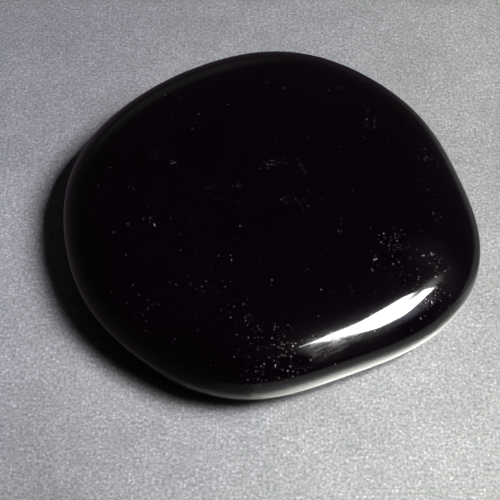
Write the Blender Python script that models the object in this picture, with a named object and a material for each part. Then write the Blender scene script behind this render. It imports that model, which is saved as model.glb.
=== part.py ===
"""A tumbled and polished slab of black obsidian, one palm-sized stone lying on its flat underside.

The origin is on the surface that the stone rests on, under the middle of its outline. Lengths are
in metres and +Z is up.
"""

import math

import bmesh
import bpy
from mathutils import Vector

# Driving dimensions
MEAN_RADIUS = 0.02643  # of the outline seen from above
EDGE_HEIGHT = 0.0039  # of the widest line, all round the rim
TOP_RISE = 0.0060  # from the widest line to the middle of the top
UNDER_DROP = 0.0045  # from the widest line to where the underside would end, uncut by its flat
CROWN = 0.10  # share of the top's fall that is spread over the whole top
SHOULDER_POWER = 5.2  # how tightly the top turns over into the rim
UNDER_POWER = 9  # how tightly the rim turns under
WEDGE = 0.12  # share by which the stone is thicker at its -X rim, and thinner at its +X rim

# The outline is a circle with a few lobes: waves round the rim, height of the wave, angle of a crest
LOBES = (
    (2, 0.00040, 72.5),
    (3, 0.00052, -27.6),
    (4, 0.00064, -19),
    (5, 0.00018, -30),
    (6, 0.00017, 29),
    (7, 0.00003, 2),
    (8, 0.00008, -9),
)

# Facets
SEGMENTS_ROUND = 80
SEGMENTS_OVER = 36


def outline_radius(angle):
    """Distance from the stone's axis to its widest line, in this direction."""
    lobes = (
        height * math.cos(waves * (angle - math.radians(crest)))
        for waves, height, crest in LOBES
    )
    return MEAN_RADIUS + sum(lobes)


def top_height(share):
    """Height of the top over the widest line, at this share of the way out to it."""
    fall = CROWN * share**2 + (1 - CROWN) * share**SHOULDER_POWER
    return TOP_RISE * math.sqrt(max(0.0, 1 - fall))


def under_height(share):
    """Height of the underside under the widest line, cut flat where the stone rests."""
    curved = -UNDER_DROP * math.sqrt(max(0.0, 1 - share**UNDER_POWER))
    return max(curved, -EDGE_HEIGHT)


def on_stone(direction):
    """The point of the stone's surface for a point of a unit sphere."""
    share = min(1.0, math.hypot(direction.x, direction.y))
    angle = math.atan2(direction.y, direction.x)
    reach = share * outline_radius(angle)
    x = reach * math.cos(angle)
    y = reach * math.sin(angle)
    height = top_height(share) if direction.z > 0 else under_height(share)
    thickening = 1 - WEDGE * x / MEAN_RADIUS
    return Vector((x, y, (EDGE_HEIGHT + height) * thickening))


def centre_on_outline(bm):
    """Moves the origin under the middle of the outline's box."""
    for axis in (0, 1):
        places = [vertex.co[axis] for vertex in bm.verts]
        middle = (min(places) + max(places)) / 2
        for vertex in bm.verts:
            vertex.co[axis] -= middle


def obsidian():
    material = bpy.data.materials.new("obsidian")
    material.use_nodes = True
    shader = material.node_tree.nodes["Principled BSDF"]
    shader.inputs["Base Color"].default_value = (0.004, 0.003, 0.005, 1)
    shader.inputs["Roughness"].default_value = 0.06
    shader.inputs["Metallic"].default_value = 0.0
    return material


def obsidian_slab(collection):
    bm = bmesh.new()
    bmesh.ops.create_uvsphere(
        bm, u_segments=SEGMENTS_ROUND, v_segments=SEGMENTS_OVER, radius=1
    )
    for vertex in bm.verts:
        vertex.co = on_stone(vertex.co)
    centre_on_outline(bm)
    bmesh.ops.recalc_face_normals(bm, faces=bm.faces)
    mesh = bpy.data.meshes.new("obsidian_slab")
    bm.to_mesh(mesh)
    bm.free()
    mesh.shade_smooth()
    mesh.materials.append(obsidian())
    stone = bpy.data.objects.new("obsidian_slab", mesh)
    collection.objects.link(stone)
    return stone


def main():
    for old in list(bpy.data.objects):
        bpy.data.objects.remove(old, do_unlink=True)
    collection = bpy.data.collections.new("obsidian slab")
    bpy.context.scene.collection.children.link(collection)
    obsidian_slab(collection)


main()
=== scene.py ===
"""Obsidian slab: a palm-sized, mirror-polished stone of black volcanic glass on a pale floor.

Lengths are in metres unless a name or a comment says mm. The stone's form repeats the part's formulas
on a finer mesh, because the part's own solid is faceted.
"""

import math

import bmesh
import bpy
from mathutils import Matrix, Vector, noise


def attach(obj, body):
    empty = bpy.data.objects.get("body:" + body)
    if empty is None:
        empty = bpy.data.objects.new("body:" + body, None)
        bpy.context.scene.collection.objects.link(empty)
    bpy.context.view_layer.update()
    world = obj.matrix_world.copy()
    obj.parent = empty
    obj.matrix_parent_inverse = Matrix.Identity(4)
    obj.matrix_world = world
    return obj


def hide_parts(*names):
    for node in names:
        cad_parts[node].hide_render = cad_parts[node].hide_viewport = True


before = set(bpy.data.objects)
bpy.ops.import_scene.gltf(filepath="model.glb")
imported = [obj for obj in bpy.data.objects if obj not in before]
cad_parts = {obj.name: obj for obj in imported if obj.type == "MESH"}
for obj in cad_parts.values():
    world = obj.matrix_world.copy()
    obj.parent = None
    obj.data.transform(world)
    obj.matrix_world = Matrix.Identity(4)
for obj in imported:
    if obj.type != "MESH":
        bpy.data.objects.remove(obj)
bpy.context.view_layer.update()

MM = 0.001

# ---------------------------------------------------------------- values: the stone's form, as in the part
MEAN_RADIUS = 0.02643
EDGE_HEIGHT = 0.0039
TOP_RISE = 0.0060
UNDER_DROP = 0.0045
CROWN = 0.10
SHOULDER_POWER = 5.2
UNDER_POWER = 9
WEDGE = 0.12
# Waves in the outline: (how many round it, height, direction of a crest in degrees)
LOBES = (
    (2, 0.00040, 72.5),
    (3, 0.00052, -27.6),
    (4, 0.00064, -19),
    (5, 0.00018, -30),
    (6, 0.00017, 29),
    (7, 0.00003, 2),
    (8, 0.00008, -9),
)
SEGMENTS_ROUND = 360
SEGMENTS_OVER = 180

# The polish follows slow swells in the glass: (length of a swell, height). The flat underside has none.
SWELLS = ((0.009, 0.000016), (0.004, 0.000004))
SWELLS_ABOVE = 0.0002

# ---------------------------------------------------------------- values: the stone's surface
# Pale specks gather in patches: (x, y in mm, radius in mm, share of specks kept at its middle)
SPECK_PATCHES = (
    (0.3, -24.2, 4.6, 0.44),
    (-2.8, -21.2, 2.6, 0.30),
    (-3.6, -18.4, 2.2, 0.22),
    (15.0, -8.8, 2.4, 0.50),
    (13.6, -11.2, 2.0, 0.34),
    (15.6, -12.0, 6.0, 0.16),
    (19.4, -11.6, 2.6, 0.30),
    (19.6, -16.0, 2.8, 0.56),
    (-0.1, 2.7, 1.2, 0.50),
    (1.3, 3.4, 0.9, 0.50),
    (4.2, 2.4, 1.0, 0.60),
    (1.8, -2.8, 1.3, 0.45),
    (3.9, -3.3, 1.4, 0.40),
    (-4.1, -0.9, 1.3, 0.36),
    (-7.7, -1.3, 1.2, 0.36),
    (8.2, -6.6, 1.5, 0.30),
    (19.6, 6.1, 1.6, 0.40),
    (20.6, -3.8, 1.4, 0.30),
    (-14.6, 3.9, 1.4, 0.40),
    (-14.7, -6.5, 1.4, 0.30),
    (-9.2, -14.5, 4.5, 0.14),
    (-15.8, -18.2, 4.0, 0.14),
    (13.0, 10.3, 2.2, 0.28),
    (-5.6, 13.7, 1.4, 0.24),
)
# A patch is full within this share of its radius, and this share of specks shows outside the patches
PATCH_CORE = 0.3
SPECKS_ELSEWHERE = 0.023
# Each cell of this size, in mm, may hold one speck. Its radius, in cells, is between these two.
SPECK_CELL = 0.34
SPECK_RADIUS = (0.12, 0.24)
# A speck or mark is full within this share of its radius or width
SPECK_CORE = 0.4
# Most specks are faint, growing with chance as an exponential, and a few near chance 1 are bright
FAINT_SPECK = 0.021
FAINT_GROWTH = 2.0
BRIGHT_SPECK = 0.33
BRIGHT_POWER = 8.0
# Dust is finer and fainter: its cell in mm, a grain's edge and core in cells, and its brightness
DUST_CELL = 0.26
DUST_GRAIN = (0.34, 0.12)
DUST_BRIGHTNESS = 0.010
# More of it shows where the share of specks is higher: (share of specks from, to, of dust from, to)
DUST_BY_SPECKS = (0.0, 0.5, 0.04, 0.50)

# Bright specks that stand alone: (x, y in mm, brightness), with one radius in mm
LONE_SPECK_RADIUS = 0.085
LONE_SPECKS = (
    (1.72, -25.49, 0.31),
    (2.02, -25.08, 0.17),
    (7.31, -24.05, 0.22),
    (4.38, -24.21, 0.13),
    (6.07, -23.59, 0.15),
    (-1.34, -25.34, 0.18),
    (-1.00, -25.11, 0.22),
    (0.76, -26.16, 0.12),
    (13.62, -7.52, 0.45),
    (14.18, -9.21, 0.15),
    (17.63, -18.08, 0.36),
    (19.69, -12.86, 0.50),
    (12.44, 10.23, 0.13),
    (1.18, -2.84, 0.17),
    (-6.38, -11.65, 0.14),
    (19.93, 7.34, 0.19),
)

# Short pale scratches and lint: (start x, y, end x, y, width, all in mm, brightness)
MARKS = (
    (-14.20, -7.00, -14.12, -7.30, 0.10, 0.16),
    (-12.55, 2.50, -11.90, 2.80, 0.08, 0.04),
    (12.20, -11.50, 12.55, -11.33, 0.09, 0.26),
    (11.90, -12.75, 12.02, -13.05, 0.09, 0.06),
    (18.15, -10.32, 18.42, -10.20, 0.09, 0.22),
    (19.28, -9.72, 19.40, -10.05, 0.09, 0.14),
    (2.27, -25.28, 4.60, -24.75, 0.07, 0.010),
)

# A smear of dust along the front of the top, which also paints the highlight's haze:
# (start x, y, end x, y, half-width, in mm, strength); the two faintest rows paint only that haze
DUST_AND_HAZE_SMEARS = (
    (5.0, -23.0, 7.4, -22.1, 1.7, 0.28),
    (6.9, -22.2, 8.1, -21.7, 1.2, 0.72),
    (8.5, -21.5, 9.8, -21.0, 1.0, 0.34),
    (9.0, -21.8, 13.4, -20.2, 1.8, 0.03),
    (19.2, -10.5, 20.4, -13.5, 4.2, 0.028),
)
# Its streaks run this way (x, y), and this is how many there are to a mm along it and across it
SMEAR_WAY = (0.91, 0.41)
SMEAR_STREAKS = (0.6, 3.2)

# Specks, dust and smears fade in between these heights, in mm, so that the sides have none
MARKED_ABOVE = (5.0, 5.8)

# The glass itself, and the specks, each between two colours
GLASS_VIOLET = (0.0012, 0.0005, 0.0014, 1)
GLASS_WINE = (0.0019, 0.0005, 0.0020, 1)
SPECK_COOL = (0.96, 0.90, 0.97, 1)
SPECK_WARM = (1.0, 0.93, 0.90, 1)
GLASS_IOR = 1.50
# A weak wide sheen over the polish: the haze round a highlight
SHEEN_WEIGHT = 0.065
SHEEN_ROUGHNESS = 0.19
# Each speck is a shallow pit
PIT_DEPTH = 0.00002
PIT_STRENGTH = 0.25

# The grain in the polish, a noise: (features to a mm, detail, roughness)
POLISH_GRAIN = (4.0, 3.0, 0.7)
# What this grain does: (grain from, to, level from, to)
FILM_BY_GRAIN = (0.30, 0.75, 0.06, 0.30)
ROUGHNESS_BY_GRAIN = (0.40, 0.75, 0.04, 0.11)
SMEAR_ROUGHNESS_BY_GRAIN = (0.35, 0.70, 0.05, 0.22)

# Uneven levels, each a noise and the ramp that carries it: (noise, (noise from, to, level from, to))
SPECK_CLUMPS = ((0.9, 2.0, 0.5), (0.38, 0.62, 0.35, 1.45))
GLASS_CLOUDS = ((0.09, 3.0, 0.5), (0.35, 0.65, 0.0, 1.0))
SMEAR_PATCHES = ((1.0, 3.0, 0.6), (0.34, 0.66, 0.12, 1.20))
FLOOR_GRAIN = ((2.6, 3.0, 0.65), (0.30, 0.70, 0.52, 1.48))
FLOOR_MOTTLE = ((0.12, 3.0, 0.6), (0.30, 0.70, 0.90, 1.10))
FLOOR_FLECKS = ((0.55, 3.0, 0.6), (0.30, 0.70, 0.93, 1.07))
LAMP_FOLDS = ((1.0, 3.0, 0.6), (0.34, 0.50, 0.42, 1.05))

# ---------------------------------------------------------------- values: the floor
FLOOR_HALF_SIDE = 1.5
FLOOR_DROP = 0.00002
# Sparks in its grain: how many to a mm, their edge and core in cells, brightness, and how rare they are
SPARKS_PER_MM = 2.2
SPARK_EDGE = (0.45, 0.10)
SPARK_BRIGHTNESS = 0.80
SPARK_POWER = 3.0
# Faint clouds, and a painted shadow beside the stone's upper left: (x, y, radius in mm, change of
# brightness)
FLOOR_CLOUDS_AND_SHADOW = (
    (-28, -42, 22, -0.20),
    (-36, 0, 16, 0.16),
    (34, 8, 18, -0.10),
    (16, -36, 24, 0.12),
    # The painted shadow: darker floor just past the stone's upper-left edge
    (-20.5, 18.5, 9, -0.22),
)
# Its tint goes from one to the other between these places, in mm, along x with a share of y taken off
TINT_SPAN = (-36.0, 30.0)
TINT_SLANT = 0.3
TINT_LEFT = (0.975, 0.975, 1.09, 1)
TINT_RIGHT = (0.99, 1.015, 0.98, 1)
# Its wide sheen, its tighter sheen and its matt share, as brightness or colour, with roughness
WIDE_SHEEN = 0.232
WIDE_ROUGHNESS = 0.70
TIGHT_SHEEN = (0.08, 0.08, 0.08, 1)
TIGHT_ROUGHNESS = 0.35
MATT_SHARE = 0.123

# ---------------------------------------------------------------- values: cards, lamp, room and camera
WHITE = (1, 1, 1, 1)
BLACK = (0, 0, 0, 1)
WARM_WHITE = (1.0, 0.99, 0.93, 1)
DIM_VIOLET = (1.0, 0.80, 0.98, 1)
# Cards on the floor round the stone: (name, height in mm, sector in degrees, the degrees over which it
# fades in and out, colour, rows outward of (offset from the outline in mm, cover, radiance))
CARDS = (
    ("dark_card", 0.05, (-15, 278), (30, 30), DIM_VIOLET, (
        (1.0, 0.0, 0.080),
        (2.5, 1.0, 0.075),
        (6, 1.0, 0.062),
        (15, 1.0, 0.052),
        (40, 1.0, 0.044),
        (120, 1.0, 0.038),
        (500, 1.0, 0.034),
    )),
    ("side_card", 0.10, (-16, 62), (14, 25), WHITE, (
        (2.5, 0.0, 0.20),
        (5.0, 1.0, 0.20),
        (15, 1.0, 0.20),
        (28, 0.6, 0.20),
        (60, 0.25, 0.20),
        (120, 0.1, 0.20),
        (300, 0.0, 0.20),
    )),
    ("grey_card", 0.15, (266, 352), (16, 14), WHITE, (
        (4.5, 0.0, 0.95),
        (7.5, 1.0, 0.90),
        (11, 1.0, 0.66),
        (17, 1.0, 0.50),
        (35, 1.0, 0.42),
        (80, 1.0, 0.32),
        (180, 1.0, 0.22),
        (500, 1.0, 0.12),
    )),
    ("bright_card", 0.20, (265, 324), (22, 26), WARM_WHITE, (
        (1.0, 0.0, 5.0),
        (2.0, 1.0, 5.0),
        (2.8, 1.0, 5.0),
        (4.8, 0.4, 5.0),
        (8.0, 0.0, 5.0),
    )),
    ("edge_card", 0.25, (263, 342), (24, 26), WARM_WHITE, (
        (-2.0, 0.3, 5.0),
        (0.3, 0.75, 5.0),
        (1.4, 0.95, 5.0),
        (2.2, 0.8, 5.0),
        (3.2, 0.0, 5.0),
    )),
)
CARD_STEPS = 90

# A flag just outside the stone's edge, that only widens its shadow, described as the cards are
FLAG = ("flag", 3.9, (204, 288), (14, 24), BLACK, ((-1.0, 1.0, 0.0), (0.95, 1.0, 0.0)))

# The lamp's outline, in mm across and up, on an upright plane this way and this far from the stone
LAMP_AZIMUTH = -18
LAMP_REACH = 0.200
LAMP_RADIANCE = 56
LAMP_OUTLINE = (
    (-98, 382), (-76, 362), (-54, 358), (-28, 370), (29, 382), (76, 364), (94, 346), (97, 318),
    (93, 259), (83, 200), (50, 210), (-12, 205), (-60, 221), (-70, 250), (-74, 345),
)
# Its cloth: the folds to a mm across and up, and the crease, as a mark; then the crease's depth and the
# cloth's level toward either end, each by the place across (mm from, to, level from, to)
FOLD_STRETCH = (0.006, 0.09)
LAMP_CREASE = (114, 270, 40, 289, 23.0, 1.0)
CREASE_DEPTH = (38.0, 84.0, 0.30, 0.93)
LAMP_LEFT_END = (-100.0, 0.0, 0.30, 1.0)
LAMP_RIGHT_END = (60.0, 98.0, 1.0, 0.5)
# Dimmer round glows just behind it: (across, up, half-width, half-height in mm, radiance, colour)
LAMP_GLOWS = (
    (-75, 262, 60, 140, 1.7, WHITE),
    (-8, 196, 84, 72, 1.7, (0.92, 0.86, 1.15, 1)),
    (106, 248, 34, 74, 2.4, WHITE),
)
GLOW_REACH = LAMP_REACH + 0.002
GLOW_RINGS = 8
GLOW_STEPS = 48

# A faint wide square light from above, with its power in watts
FILL_HEIGHT = 0.8
FILL_SIDE = 0.6
FILL_POWER = 0.075
FILL_COLOUR = (1.0, 0.72, 1.0)

# The room's light by the height of the direction looked in, from 0, level, to 1, straight up (height
# from, to, level from, to), and a paler patch of wall, by how it fades in at its four edges
ROOM_WALLS = (0.02, 0.30, 0.034, 0.014)
ROOM_CEILING = (0.40, 0.75, 0.0, -0.012)
PATCH_SIDE = (0.12, -0.10)
PATCH_AWAY = (0.74, 0.94)
PATCH_BOTTOM = (0.04, 0.09)
PATCH_TOP = (0.34, 0.25)
PATCH_LEVEL = 0.05
ROOM_COLOUR = (0.97, 1.0, 0.93, 1)

# The camera, as in the photograph: where it looks, its elevation in degrees, its lens and sensor in mm
CAMERA_TARGET = (-0.00250, -0.00585, EDGE_HEIGHT)
CAMERA_ELEVATION = 53
CAMERA_DISTANCE = 0.1736
CAMERA_LENS = 100
CAMERA_SENSOR = 36
CAMERA_CLIP = 0.01


# ---------------------------------------------------------------- the stone
def outline_radius(angle):
    lobes = (
        height * math.cos(waves * (angle - math.radians(crest)))
        for waves, height, crest in LOBES
    )
    return MEAN_RADIUS + sum(lobes)


def top_height(share):
    fall = CROWN * share**2 + (1 - CROWN) * share**SHOULDER_POWER
    return TOP_RISE * math.sqrt(max(0.0, 1 - fall))


def under_height(share):
    curved = -UNDER_DROP * math.sqrt(max(0.0, 1 - share**UNDER_POWER))
    return max(curved, -EDGE_HEIGHT)


def on_stone(direction):
    """The place on the stone for a place on a sphere of radius 1."""
    share = min(1.0, math.hypot(direction.x, direction.y))
    angle = math.atan2(direction.y, direction.x)
    reach = share * outline_radius(angle)
    x = reach * math.cos(angle)
    y = reach * math.sin(angle)
    height = top_height(share) if direction.z > 0 else under_height(share)
    thickening = 1 - WEDGE * x / MEAN_RADIUS
    return Vector((x, y, (EDGE_HEIGHT + height) * thickening))


def outline_middle(points):
    """The middle of the outline's box, which the part has over its origin."""
    middle = Vector((0, 0, 0))
    for axis in (0, 1):
        places = [point[axis] for point in points]
        middle[axis] = (min(places) + max(places)) / 2
    return middle


def polished_stone():
    bm = bmesh.new()
    bmesh.ops.create_uvsphere(
        bm, u_segments=SEGMENTS_ROUND, v_segments=SEGMENTS_OVER, radius=1
    )
    for vertex in bm.verts:
        vertex.co = on_stone(vertex.co)
    middle = outline_middle([vertex.co for vertex in bm.verts])
    bm.normal_update()
    for vertex in bm.verts:
        place = vertex.co.copy()
        swell = sum(height * noise.noise(place / length) for length, height in SWELLS)
        if place.z > SWELLS_ABOVE:
            vertex.co = place + vertex.normal * swell
        vertex.co -= middle
    bmesh.ops.recalc_face_normals(bm, faces=bm.faces)
    mesh = bpy.data.meshes.new("polished_stone")
    bm.to_mesh(mesh)
    bm.free()
    mesh.shade_smooth()
    stone = bpy.data.objects.new("polished_stone", mesh)
    bpy.context.scene.collection.objects.link(stone)
    return stone, middle


# ---------------------------------------------------------------- shader helpers
def new_material(name):
    material = bpy.data.materials.new(name)
    material.use_nodes = True
    return material, material.node_tree


def show(tree, surface):
    tree.links.new(surface, tree.nodes["Material Output"].inputs["Surface"])


def plug(tree, socket, value):
    """Links a socket to another node's output, or sets it to a number."""
    if isinstance(value, bpy.types.NodeSocket):
        tree.links.new(value, socket)
    else:
        socket.default_value = value


def calc(tree, operation, first, second=0.0):
    node = tree.nodes.new("ShaderNodeMath")
    node.operation = operation
    plug(tree, node.inputs[0], first)
    plug(tree, node.inputs[1], second)
    return node.outputs[0]


def product(tree, first, *others):
    for other in others:
        first = calc(tree, "MULTIPLY", first, other)
    return first


def total(tree, first, *others):
    for other in others:
        first = calc(tree, "ADD", first, other)
    return first


def highest(tree, first, *others):
    for other in others:
        first = calc(tree, "MAXIMUM", first, other)
    return first


def vector_calc(tree, operation, first, second=None, scale=None):
    node = tree.nodes.new("ShaderNodeVectorMath")
    node.operation = operation
    plug(tree, node.inputs[0], first)
    if second is not None:
        plug(tree, node.inputs[1], second)
    if scale is not None:
        plug(tree, node.inputs["Scale"], scale)
    number = operation in ("DISTANCE", "DOT_PRODUCT")
    return node.outputs["Value"] if number else node.outputs[0]


def ramp(tree, value, low, high, out_low=0.0, out_high=1.0, smooth=False):
    """The value carried from low..high to out_low..out_high, and held at both ends."""
    node = tree.nodes.new("ShaderNodeMapRange")
    node.interpolation_type = "SMOOTHSTEP" if smooth else "LINEAR"
    for socket, number in zip(node.inputs, (value, low, high, out_low, out_high)):
        plug(tree, socket, number)
    return node.outputs[0]


def blend_colour(tree, share, first, second):
    node = tree.nodes.new("ShaderNodeMix")
    node.data_type = "RGBA"
    plug(tree, node.inputs["Factor"], share)
    plug(tree, node.inputs["A"], first)
    plug(tree, node.inputs["B"], second)
    return node.outputs["Result"]


def cloud(tree, place, scale, detail, roughness):
    node = tree.nodes.new("ShaderNodeTexNoise")
    plug(tree, node.inputs["Vector"], place)
    node.inputs["Scale"].default_value = scale
    node.inputs["Detail"].default_value = detail
    node.inputs["Roughness"].default_value = roughness
    return node.outputs["Fac"]


def uneven(tree, place, noise_kind, levels):
    """A level that goes up and down over the surface."""
    return ramp(tree, cloud(tree, place, *noise_kind), *levels)


def cells(tree, place, scale):
    """Scattered points: how far away the nearest is, in cells, and its random colour."""
    node = tree.nodes.new("ShaderNodeTexVoronoi")
    node.voronoi_dimensions = "2D"
    plug(tree, node.inputs["Vector"], place)
    node.inputs["Scale"].default_value = scale
    return node.outputs["Distance"], split(tree, node.outputs["Color"])


def split(tree, vector):
    node = tree.nodes.new("ShaderNodeSeparateXYZ")
    plug(tree, node.inputs[0], vector)
    return node.outputs


def join(tree, x, y, z=0.0):
    node = tree.nodes.new("ShaderNodeCombineXYZ")
    for socket, value in zip(node.inputs, (x, y, z)):
        plug(tree, socket, value)
    return node.outputs[0]


def object_mm(tree):
    """The place on the object, in mm."""
    coordinates = tree.nodes.new("ShaderNodeTexCoord").outputs["Object"]
    return vector_calc(tree, "SCALE", coordinates, scale=1 / MM)


def spot(tree, flat, x, y, radius, core, level, smooth=False):
    """A round spot: full within the core, a share of its radius, and fading to nothing at its edge."""
    away = vector_calc(tree, "DISTANCE", flat, (x, y, 0))
    return ramp(tree, away, radius, core * radius, 0.0, level, smooth)


def away_from_line(tree, flat, start_x, start_y, end_x, end_y):
    along = Vector((end_x - start_x, end_y - start_y, 0))
    from_start = vector_calc(tree, "SUBTRACT", flat, (start_x, start_y, 0))
    share = vector_calc(tree, "DOT_PRODUCT", from_start, tuple(along / along.length_squared))
    nearest = vector_calc(tree, "SCALE", tuple(along), scale=ramp(tree, share, 0.0, 1.0))
    return vector_calc(tree, "DISTANCE", from_start, nearest)


def mark(tree, flat, start_x, start_y, end_x, end_y, width, brightness):
    """A short straight line, soft at its edges."""
    away = away_from_line(tree, flat, start_x, start_y, end_x, end_y)
    return ramp(tree, away, width, SPECK_CORE * width, 0.0, brightness)


# ---------------------------------------------------------------- the stone's material
def speck_share(tree, flat):
    """The share of specks that show: high in the patches and low elsewhere, all of it in clumps."""
    patches = [
        spot(tree, flat, x, y, radius, PATCH_CORE, share)
        for x, y, radius, share in SPECK_PATCHES
    ]
    return product(tree, highest(tree, SPECKS_ELSEWHERE, *patches), uneven(tree, flat, *SPECK_CLUMPS))


def speck_brightness(tree, chance):
    """Most specks are faint, and a few are bright."""
    growth = calc(tree, "EXPONENT", product(tree, chance, FAINT_GROWTH))
    rare = calc(tree, "POWER", chance, BRIGHT_POWER)
    return total(tree, product(tree, growth, FAINT_SPECK), product(tree, rare, BRIGHT_SPECK))


def scattered_specks(tree, flat, share):
    """Tiny round inclusions of random size and brightness: their shapes, brightness and tint."""
    distance, chances = cells(tree, flat, 1 / SPECK_CELL)
    radius = ramp(tree, chances[0], 0.0, 1.0, *SPECK_RADIUS)
    dot = ramp(tree, distance, radius, product(tree, radius, SPECK_CORE))
    shapes = product(tree, dot, calc(tree, "LESS_THAN", chances[1], share))
    tint = blend_colour(tree, chances[0], SPECK_COOL, SPECK_WARM)
    return shapes, product(tree, shapes, speck_brightness(tree, chances[2])), tint


def scattered_dust(tree, flat, share):
    """Fine faint grains, more of them where more specks show."""
    distance, chances = cells(tree, flat, 1 / DUST_CELL)
    dot = ramp(tree, distance, *DUST_GRAIN, 0.0, DUST_BRIGHTNESS)
    kept = calc(tree, "LESS_THAN", chances[1], ramp(tree, share, *DUST_BY_SPECKS))
    return product(tree, dot, kept)


def dust_and_painted_haze(tree, flat):
    """Soft bands of dust and of painted highlight haze, patchy along their streaks."""
    bands = [
        ramp(tree, away_from_line(tree, flat, *line), half_width, 0.0, 0.0, strength, smooth=True)
        for *line, half_width, strength in DUST_AND_HAZE_SMEARS
    ]
    way_x, way_y = SMEAR_WAY
    along = vector_calc(tree, "DOT_PRODUCT", flat, (way_x, way_y, 0))
    across = vector_calc(tree, "DOT_PRODUCT", flat, (-way_y, way_x, 0))
    streaks = join(
        tree, product(tree, along, SMEAR_STREAKS[0]), product(tree, across, SMEAR_STREAKS[1])
    )
    return product(tree, highest(tree, *bands), uneven(tree, streaks, *SMEAR_PATCHES))


def shallow_pits(tree, shapes):
    pits = tree.nodes.new("ShaderNodeBump")
    pits.invert = True
    pits.inputs["Strength"].default_value = PIT_STRENGTH
    pits.inputs["Distance"].default_value = PIT_DEPTH
    tree.links.new(shapes, pits.inputs["Height"])
    return pits.outputs["Normal"]


def obsidian():
    """Opaque black glass, mirror-polished, with pale specks, scratches, dust and painted haze on its top.
    """
    material, tree = new_material("polished obsidian")
    shader = tree.nodes["Principled BSDF"]
    place = object_mm(tree)
    x, y, z = split(tree, place)
    flat = join(tree, x, y)

    share = speck_share(tree, flat)
    shapes, specks, tint = scattered_specks(tree, flat, share)
    dust = scattered_dust(tree, flat, share)
    lone = [
        spot(tree, flat, lone_x, lone_y, LONE_SPECK_RADIUS, SPECK_CORE, brightness)
        for lone_x, lone_y, brightness in LONE_SPECKS
    ]
    marks = [mark(tree, flat, *line) for line in MARKS]
    grain = cloud(tree, place, *POLISH_GRAIN)
    # The smear is dust, and painted haze of light beside the highlight, as a pale film and duller polish
    smear_and_haze = dust_and_painted_haze(tree, flat)
    dust_film_and_haze = product(tree, smear_and_haze, ramp(tree, grain, *FILM_BY_GRAIN))
    pale = highest(tree, specks, dust, dust_film_and_haze, *lone, *marks)
    pale = product(tree, pale, ramp(tree, z, *MARKED_ABOVE))

    glass = blend_colour(tree, uneven(tree, place, *GLASS_CLOUDS), GLASS_VIOLET, GLASS_WINE)
    tree.links.new(blend_colour(tree, pale, glass, tint), shader.inputs["Base Color"])
    dulled = product(tree, smear_and_haze, ramp(tree, grain, *SMEAR_ROUGHNESS_BY_GRAIN))
    roughness = total(tree, ramp(tree, grain, *ROUGHNESS_BY_GRAIN), dulled)
    tree.links.new(roughness, shader.inputs["Roughness"])
    tree.links.new(shallow_pits(tree, shapes), shader.inputs["Normal"])
    shader.inputs["IOR"].default_value = GLASS_IOR
    shader.inputs["Coat Weight"].default_value = SHEEN_WEIGHT
    shader.inputs["Coat Roughness"].default_value = SHEEN_ROUGHNESS
    shader.inputs["Coat IOR"].default_value = GLASS_IOR
    return material


# ---------------------------------------------------------------- the floor
def glossy_lobe(tree, colour, roughness, distribution):
    node = tree.nodes.new("ShaderNodeBsdfAnisotropic")
    plug(tree, node.inputs["Color"], colour)
    node.inputs["Roughness"].default_value = roughness
    node.distribution = distribution
    return node.outputs[0]


def matt_lobe(tree, colour):
    node = tree.nodes.new("ShaderNodeBsdfDiffuse")
    plug(tree, node.inputs["Color"], colour)
    return node.outputs[0]


def both(tree, first, second):
    node = tree.nodes.new("ShaderNodeAddShader")
    tree.links.new(first, node.inputs[0])
    tree.links.new(second, node.inputs[1])
    return node.outputs[0]


def floor_level(tree, place, flat):
    """Grain with a few sparks in it, over mottle, flecks, faint clouds and a painted shadow by the stone.
    """
    distance, chances = cells(tree, place, SPARKS_PER_MM)
    spark = ramp(tree, distance, *SPARK_EDGE, 0.0, SPARK_BRIGHTNESS)
    spark = product(tree, spark, calc(tree, "POWER", chances[0], SPARK_POWER))
    grain = total(tree, uneven(tree, place, *FLOOR_GRAIN), spark)
    mottle = product(
        tree, uneven(tree, place, *FLOOR_MOTTLE), uneven(tree, place, *FLOOR_FLECKS)
    )
    clouds_and_shadow = [
        spot(tree, flat, x, y, radius, 0.0, change, smooth=True)
        for x, y, radius, change in FLOOR_CLOUDS_AND_SHADOW
    ]
    return product(tree, grain, total(tree, mottle, *clouds_and_shadow))


def floor_surface():
    """Satin grey: a wide sheen, a tighter one toward the lamp's mirror image, and a little matt."""
    material, tree = new_material("satin grey board")
    place = object_mm(tree)
    x, y, _ = split(tree, place)
    level = floor_level(tree, place, join(tree, x, y))
    slanted = calc(tree, "SUBTRACT", x, product(tree, y, TINT_SLANT))
    tint = blend_colour(tree, ramp(tree, slanted, *TINT_SPAN), TINT_LEFT, TINT_RIGHT)
    wide = vector_calc(tree, "SCALE", tint, scale=product(tree, level, WIDE_SHEEN))
    matt = vector_calc(tree, "SCALE", tint, scale=product(tree, level, MATT_SHARE))
    sheens = both(
        tree,
        glossy_lobe(tree, wide, WIDE_ROUGHNESS, "BECKMANN"),
        glossy_lobe(tree, TIGHT_SHEEN, TIGHT_ROUGHNESS, "GGX"),
    )
    show(tree, both(tree, sheens, matt_lobe(tree, matt)))
    return material


def plain_object(name, bm, material):
    mesh = bpy.data.meshes.new(name)
    bm.to_mesh(mesh)
    bm.free()
    mesh.materials.append(material)
    made = bpy.data.objects.new(name, mesh)
    bpy.context.scene.collection.objects.link(made)
    return made


def floor():
    bm = bmesh.new()
    bmesh.ops.create_grid(bm, x_segments=1, y_segments=1, size=FLOOR_HALF_SIDE)
    plane = plain_object("floor", bm, floor_surface())
    plane.location.z = -FLOOR_DROP
    return plane


# ---------------------------------------------------------------- cards and glows
def attribute(tree, name):
    node = tree.nodes.new("ShaderNodeAttribute")
    node.attribute_name = name
    return node.outputs["Fac"]


def in_front(tree):
    """1 on a surface's front and 0 on its back."""
    behind = tree.nodes.new("ShaderNodeNewGeometry").outputs["Backfacing"]
    return calc(tree, "SUBTRACT", 1.0, behind)


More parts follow.
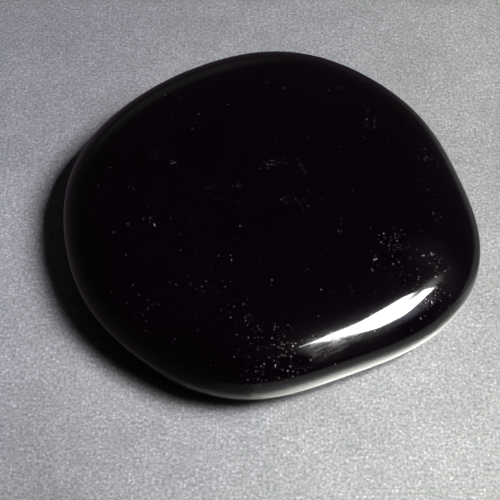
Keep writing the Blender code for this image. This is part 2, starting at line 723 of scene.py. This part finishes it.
def glow(name, colour):
    """A surface that glows on its front, and is clear from behind and where its cover fades."""
    material, tree = new_material(name)
    emission = tree.nodes.new("ShaderNodeEmission")
    emission.inputs["Color"].default_value = colour
    tree.links.new(attribute(tree, "radiance"), emission.inputs["Strength"])
    clear = tree.nodes.new("ShaderNodeBsdfTransparent")
    mix = tree.nodes.new("ShaderNodeMixShader")
    shown = product(tree, attribute(tree, "cover"), in_front(tree))
    for socket, value in zip(mix.inputs, (shown, clear.outputs[0], emission.outputs[0])):
        tree.links.new(value, socket)
    show(tree, mix.outputs[0])
    return material


def glowing_mesh():
    """An empty mesh whose points each have a cover and a radiance."""
    bm = bmesh.new()
    return bm, bm.verts.layers.float.new("cover"), bm.verts.layers.float.new("radiance")


def glossy_only(card):
    card.visible_camera = False
    card.visible_diffuse = False
    card.visible_shadow = False
    card.visible_transmission = False
    return card


def shadow_only(card):
    """Turns a card over, toward the floor, where it only casts a shadow."""
    card.data.flip_normals()
    card.visible_glossy = False
    card.visible_shadow = True
    return card


def card_round_stone(middle, name, height, sector, fade, colour, rows):
    """A flat card round part of the stone, at this height, that only glossy rays meet.

    It covers a sector, and fades in and out over so many degrees at its ends. Each row is an offset
    from the outline, with the card's cover and radiance there.
    """
    start, end = sector
    bm, cover, radiance = glowing_mesh()
    arcs = []
    for step in range(CARD_STEPS + 1):
        degrees = start + (end - start) * step / CARD_STEPS
        angle = math.radians(degrees)
        way = Vector((math.cos(angle), math.sin(angle), 0))
        ends = min(1.0, (degrees - start) / fade[0], (end - degrees) / fade[1])
        arc = []
        for offset, row_cover, row_radiance in rows:
            reach = outline_radius(angle) + offset * MM
            vertex = bm.verts.new(way * reach - middle + Vector((0, 0, height * MM)))
            vertex[cover] = row_cover * ends
            vertex[radiance] = row_radiance
            arc.append(vertex)
        arcs.append(arc)
    for first, second in zip(arcs, arcs[1:]):
        for row in range(len(rows) - 1):
            bm.faces.new((first[row], first[row + 1], second[row + 1], second[row]))
    return glossy_only(plain_object(name, bm, glow(name, colour)))


def stand_upright(piece, reach):
    """Stands a flat piece, drawn across and up, in the lamp's direction from the stone."""
    turn = math.radians(LAMP_AZIMUTH)
    away = Vector((math.cos(turn), math.sin(turn), 0))
    across = Vector((-away.y, away.x, 0))
    axes = Matrix((across, Vector((0, 0, 1)), away)).transposed().to_4x4()
    piece.matrix_world = Matrix.Translation(away * reach) @ axes
    return piece


def lamp_glow(name, across, up, half_width, half_height, middle_radiance, colour):
    """A round glow, fading from its middle to its edge, that only glossy rays meet."""
    bm, cover, radiance = glowing_mesh()
    rings = []
    for ring in range(GLOW_RINGS + 1):
        fall = ring / GLOW_RINGS
        points = []
        for step in range(GLOW_STEPS):
            angle = math.tau * step / GLOW_STEPS
            point = Vector((
                across + half_width * fall * math.cos(angle),
                up + half_height * fall * math.sin(angle),
                0,
            ))
            vertex = bm.verts.new(point * MM)
            vertex[cover] = (1 - fall**2) ** 2
            vertex[radiance] = middle_radiance
            points.append(vertex)
        rings.append(points)
    for inner, outer in zip(rings, rings[1:]):
        for step in range(GLOW_STEPS):
            after = (step + 1) % GLOW_STEPS
            bm.faces.new((inner[step], inner[after], outer[after], outer[step]))
    return stand_upright(glossy_only(plain_object(name, bm, glow(name, colour))), GLOW_REACH)


# ---------------------------------------------------------------- lamp, fill, room and camera
def lamp_cloth():
    """Nearly even, with soft level folds, one dark crease at its right, and dimmer ends."""
    material, tree = new_material("softbox")
    across, up, _ = split(tree, object_mm(tree))
    stretched = join(
        tree, product(tree, across, FOLD_STRETCH[0]), product(tree, up, FOLD_STRETCH[1])
    )
    crease = product(
        tree, mark(tree, join(tree, across, up), *LAMP_CREASE), ramp(tree, across, *CREASE_DEPTH)
    )
    strength = product(
        tree,
        uneven(tree, stretched, *LAMP_FOLDS),
        calc(tree, "SUBTRACT", 1.0, crease),
        ramp(tree, across, *LAMP_LEFT_END),
        ramp(tree, across, *LAMP_RIGHT_END),
        LAMP_RADIANCE,
        in_front(tree),
    )
    emission = tree.nodes.new("ShaderNodeEmission")
    tree.links.new(strength, emission.inputs["Strength"])
    show(tree, emission.outputs[0])
    return material


def softbox():
    """The lamp: an upright sheet of this outline, that glows toward the stone."""
    bm = bmesh.new()
    bm.faces.new([bm.verts.new((across * MM, up * MM, 0)) for across, up in LAMP_OUTLINE])
    bmesh.ops.triangulate(bm, faces=bm.faces)
    if sum(face.normal.z for face in bm.faces) > 0:
        bmesh.ops.reverse_faces(bm, faces=bm.faces)
    return stand_upright(plain_object("softbox", bm, lamp_cloth()), LAMP_REACH)


def soft_fill():
    """A faint wide light from above, that no reflection shows."""
    data = bpy.data.lights.new("soft_fill", "AREA")
    data.shape = "SQUARE"
    data.size = FILL_SIDE
    data.energy = FILL_POWER
    data.color = FILL_COLOUR
    fill = bpy.data.objects.new("soft_fill", data)
    fill.location = (0, 0, FILL_HEIGHT)
    fill.visible_glossy = False
    bpy.context.scene.collection.objects.link(fill)


def dark_room():
    """Dim walls under a black ceiling, with a paler patch of wall behind the stone."""
    room = bpy.data.worlds.new("dark room")
    room.use_nodes = True
    tree = room.node_tree
    x, y, z = split(tree, tree.nodes.new("ShaderNodeTexCoord").outputs["Generated"])
    patch = product(
        tree,
        ramp(tree, x, *PATCH_SIDE),
        ramp(tree, y, *PATCH_AWAY),
        ramp(tree, z, *PATCH_BOTTOM),
        ramp(tree, z, *PATCH_TOP),
        PATCH_LEVEL,
    )
    light = total(tree, ramp(tree, z, *ROOM_WALLS), ramp(tree, z, *ROOM_CEILING), patch)
    background = tree.nodes["Background"]
    tree.links.new(light, background.inputs["Strength"])
    background.inputs["Color"].default_value = ROOM_COLOUR
    bpy.context.scene.world = room


def camera(target):
    data = bpy.data.cameras.new("camera")
    data.lens = CAMERA_LENS
    data.sensor_width = CAMERA_SENSOR
    data.sensor_fit = "HORIZONTAL"
    data.clip_start = CAMERA_CLIP
    view = bpy.data.objects.new("camera", data)
    lift = math.radians(CAMERA_ELEVATION)
    view.location = target + CAMERA_DISTANCE * Vector((0, -math.cos(lift), math.sin(lift)))
    view.rotation_euler = (math.pi / 2 - lift, 0, 0)
    bpy.context.scene.collection.objects.link(view)
    bpy.context.scene.camera = view


def main():
    stone, middle = polished_stone()
    stone.data.materials.append(obsidian())
    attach(stone, "root")
    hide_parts("obsidian_slab")

    floor()
    for card in CARDS:
        card_round_stone(middle, *card)
    shadow_only(card_round_stone(middle, *FLAG))
    softbox()
    for number, shape in enumerate(LAMP_GLOWS):
        lamp_glow(f"lamp_glow_{number + 1}", *shape)
    soft_fill()
    dark_room()
    camera(Vector(CAMERA_TARGET) - middle)
    bpy.context.scene.view_settings.view_transform = "Standard"


main()
